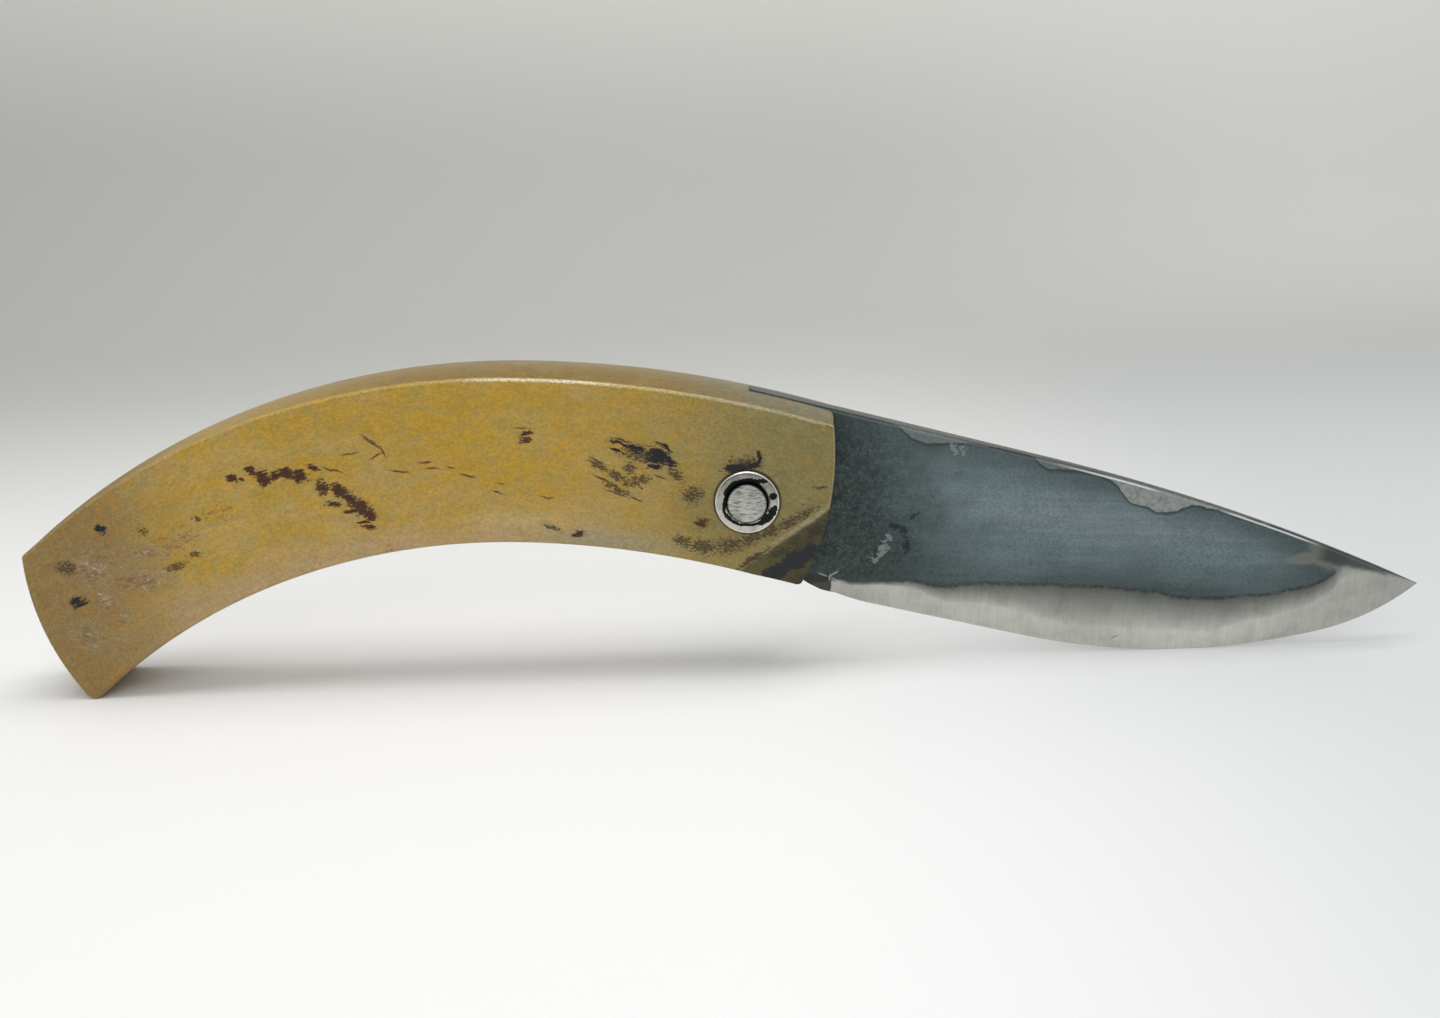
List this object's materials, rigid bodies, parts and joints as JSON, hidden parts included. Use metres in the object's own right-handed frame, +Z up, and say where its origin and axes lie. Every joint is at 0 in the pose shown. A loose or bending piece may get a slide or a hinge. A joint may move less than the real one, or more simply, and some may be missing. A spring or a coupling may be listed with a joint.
{
  "type": "folding pocket knife",
  "caption": "Friction folding pocket knife with a bowed one-piece horn handle, a forged drop-point blade and a peened pivot pin with washers.",
  "frame": {"origin": "on the ground below the middle of the open knife, which stands on edge on the lower corner of its butt and on the belly of the blade", "axes": "+X along the knife towards the blade's tip, +Z up from the cutting edge towards the spine, Y across the thickness with the middle plane at 0"},
  "size_m": [0.2142, 0.0158, 0.0502],
  "materials": {
    "horn": "hand-polished blond horn with dark natural flecks",
    "forged_steel": "dark forge skin with a bright ground bevel",
    "pin_steel": "filed flat across the peened ends",
    "washer_steel": "worn bright with dark scale left in patches",
    "bronze": "plain thin bronze"
  },
  "bodies": {
    "handle": {"horn_handle": "horn", "pivot_pin": "pin_steel", "near_outer_washer": "washer_steel", "far_outer_washer": "washer_steel", "near_inner_washer": "bronze", "far_inner_washer": "bronze"},
    "blade": {"blade": "forged_steel"}
  },
  "joints": [
    {"name": "blade_fold", "type": "hinge", "parent": "handle", "child": "blade", "pos_m": [0.00616, 0, 0.02873], "axis": [0, 1, 0], "range_deg": [0, 165]}
  ]
}
